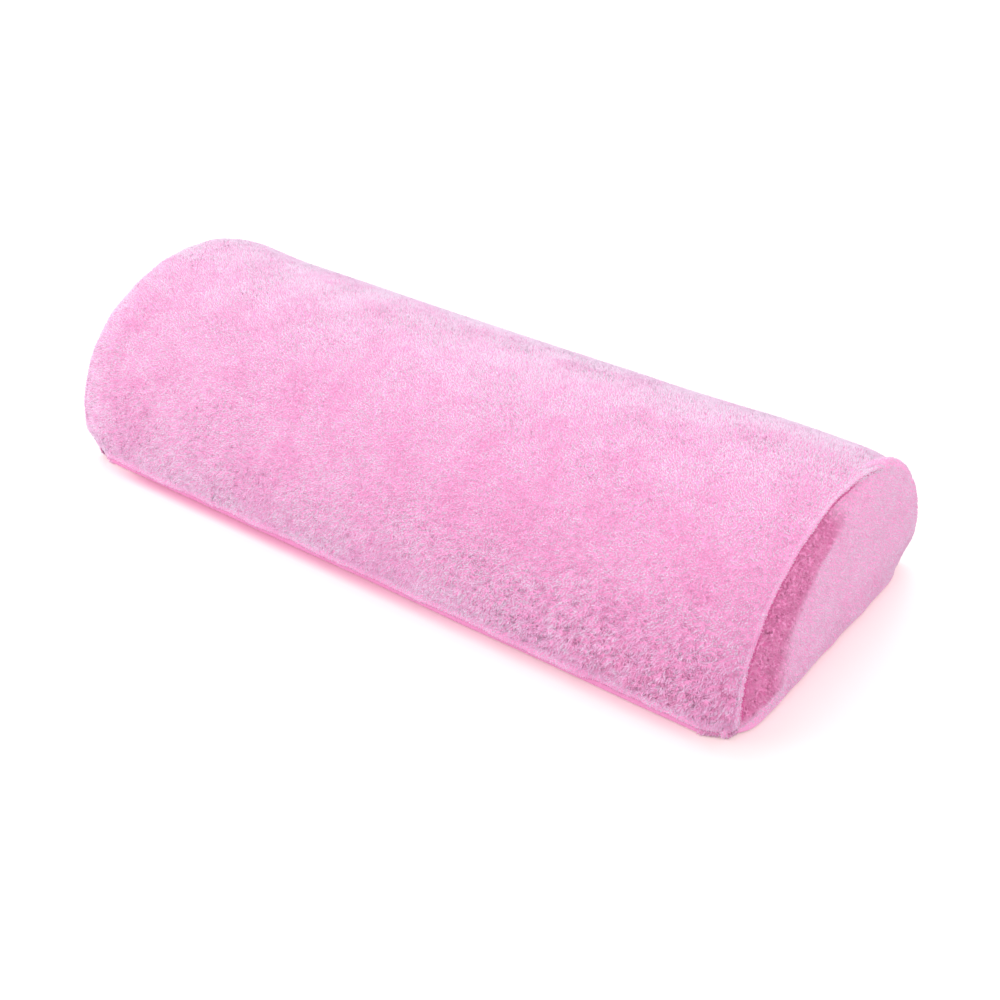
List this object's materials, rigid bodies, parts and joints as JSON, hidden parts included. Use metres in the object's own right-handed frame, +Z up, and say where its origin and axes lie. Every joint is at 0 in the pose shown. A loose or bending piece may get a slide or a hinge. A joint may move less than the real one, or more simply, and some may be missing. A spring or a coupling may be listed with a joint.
{
  "type": "manicure hand rest",
  "caption": "Half-round foam cushion in a soft terry cover with a concealed back zip, to rest the hand on during a manicure.",
  "frame": {"origin": "middle of the flat underside, on the table", "axes": "+X along the cushion's length, towards the end panel that the picture shows; +Y towards the back seam with the zip; +Z up from the table"},
  "size_m": [0.3, 0.1244, 0.065],
  "materials": {
    "terry": "soft brushed terry pile",
    "foam": "open-cell foam",
    "zip_tape": "flat woven tape",
    "zip_nylon": "drawn nylon",
    "zip_metal": "satin nickel plate"
  },
  "bodies": {
    "cushion": {"foam_core": "foam", "wrap_panel": "terry", "base_panel": "terry", "end_panel_right": "terry", "end_panel_left": "terry", "zip_tape_upper": "zip_tape", "zip_tape_lower": "zip_tape", "zip_coil_upper": "zip_nylon", "zip_coil_lower": "zip_nylon", "zip_stop_closed": "zip_nylon", "zip_stop_open": "zip_nylon"},
    "slider": {"zip_slider": "zip_metal"},
    "pull": {"zip_pull": "zip_metal"}
  },
  "joints": [
    {"name": "zip_travel", "type": "slide", "parent": "cushion", "child": "slider", "axis": [-1, 0, 0], "range_m": [0, 0.229]},
    {"name": "pull_swing", "type": "hinge", "parent": "slider", "child": "pull", "pos_m": [0.1147, 0.06259, 0.012], "axis": [0, 0, -1], "range_deg": [0, 180]}
  ]
}
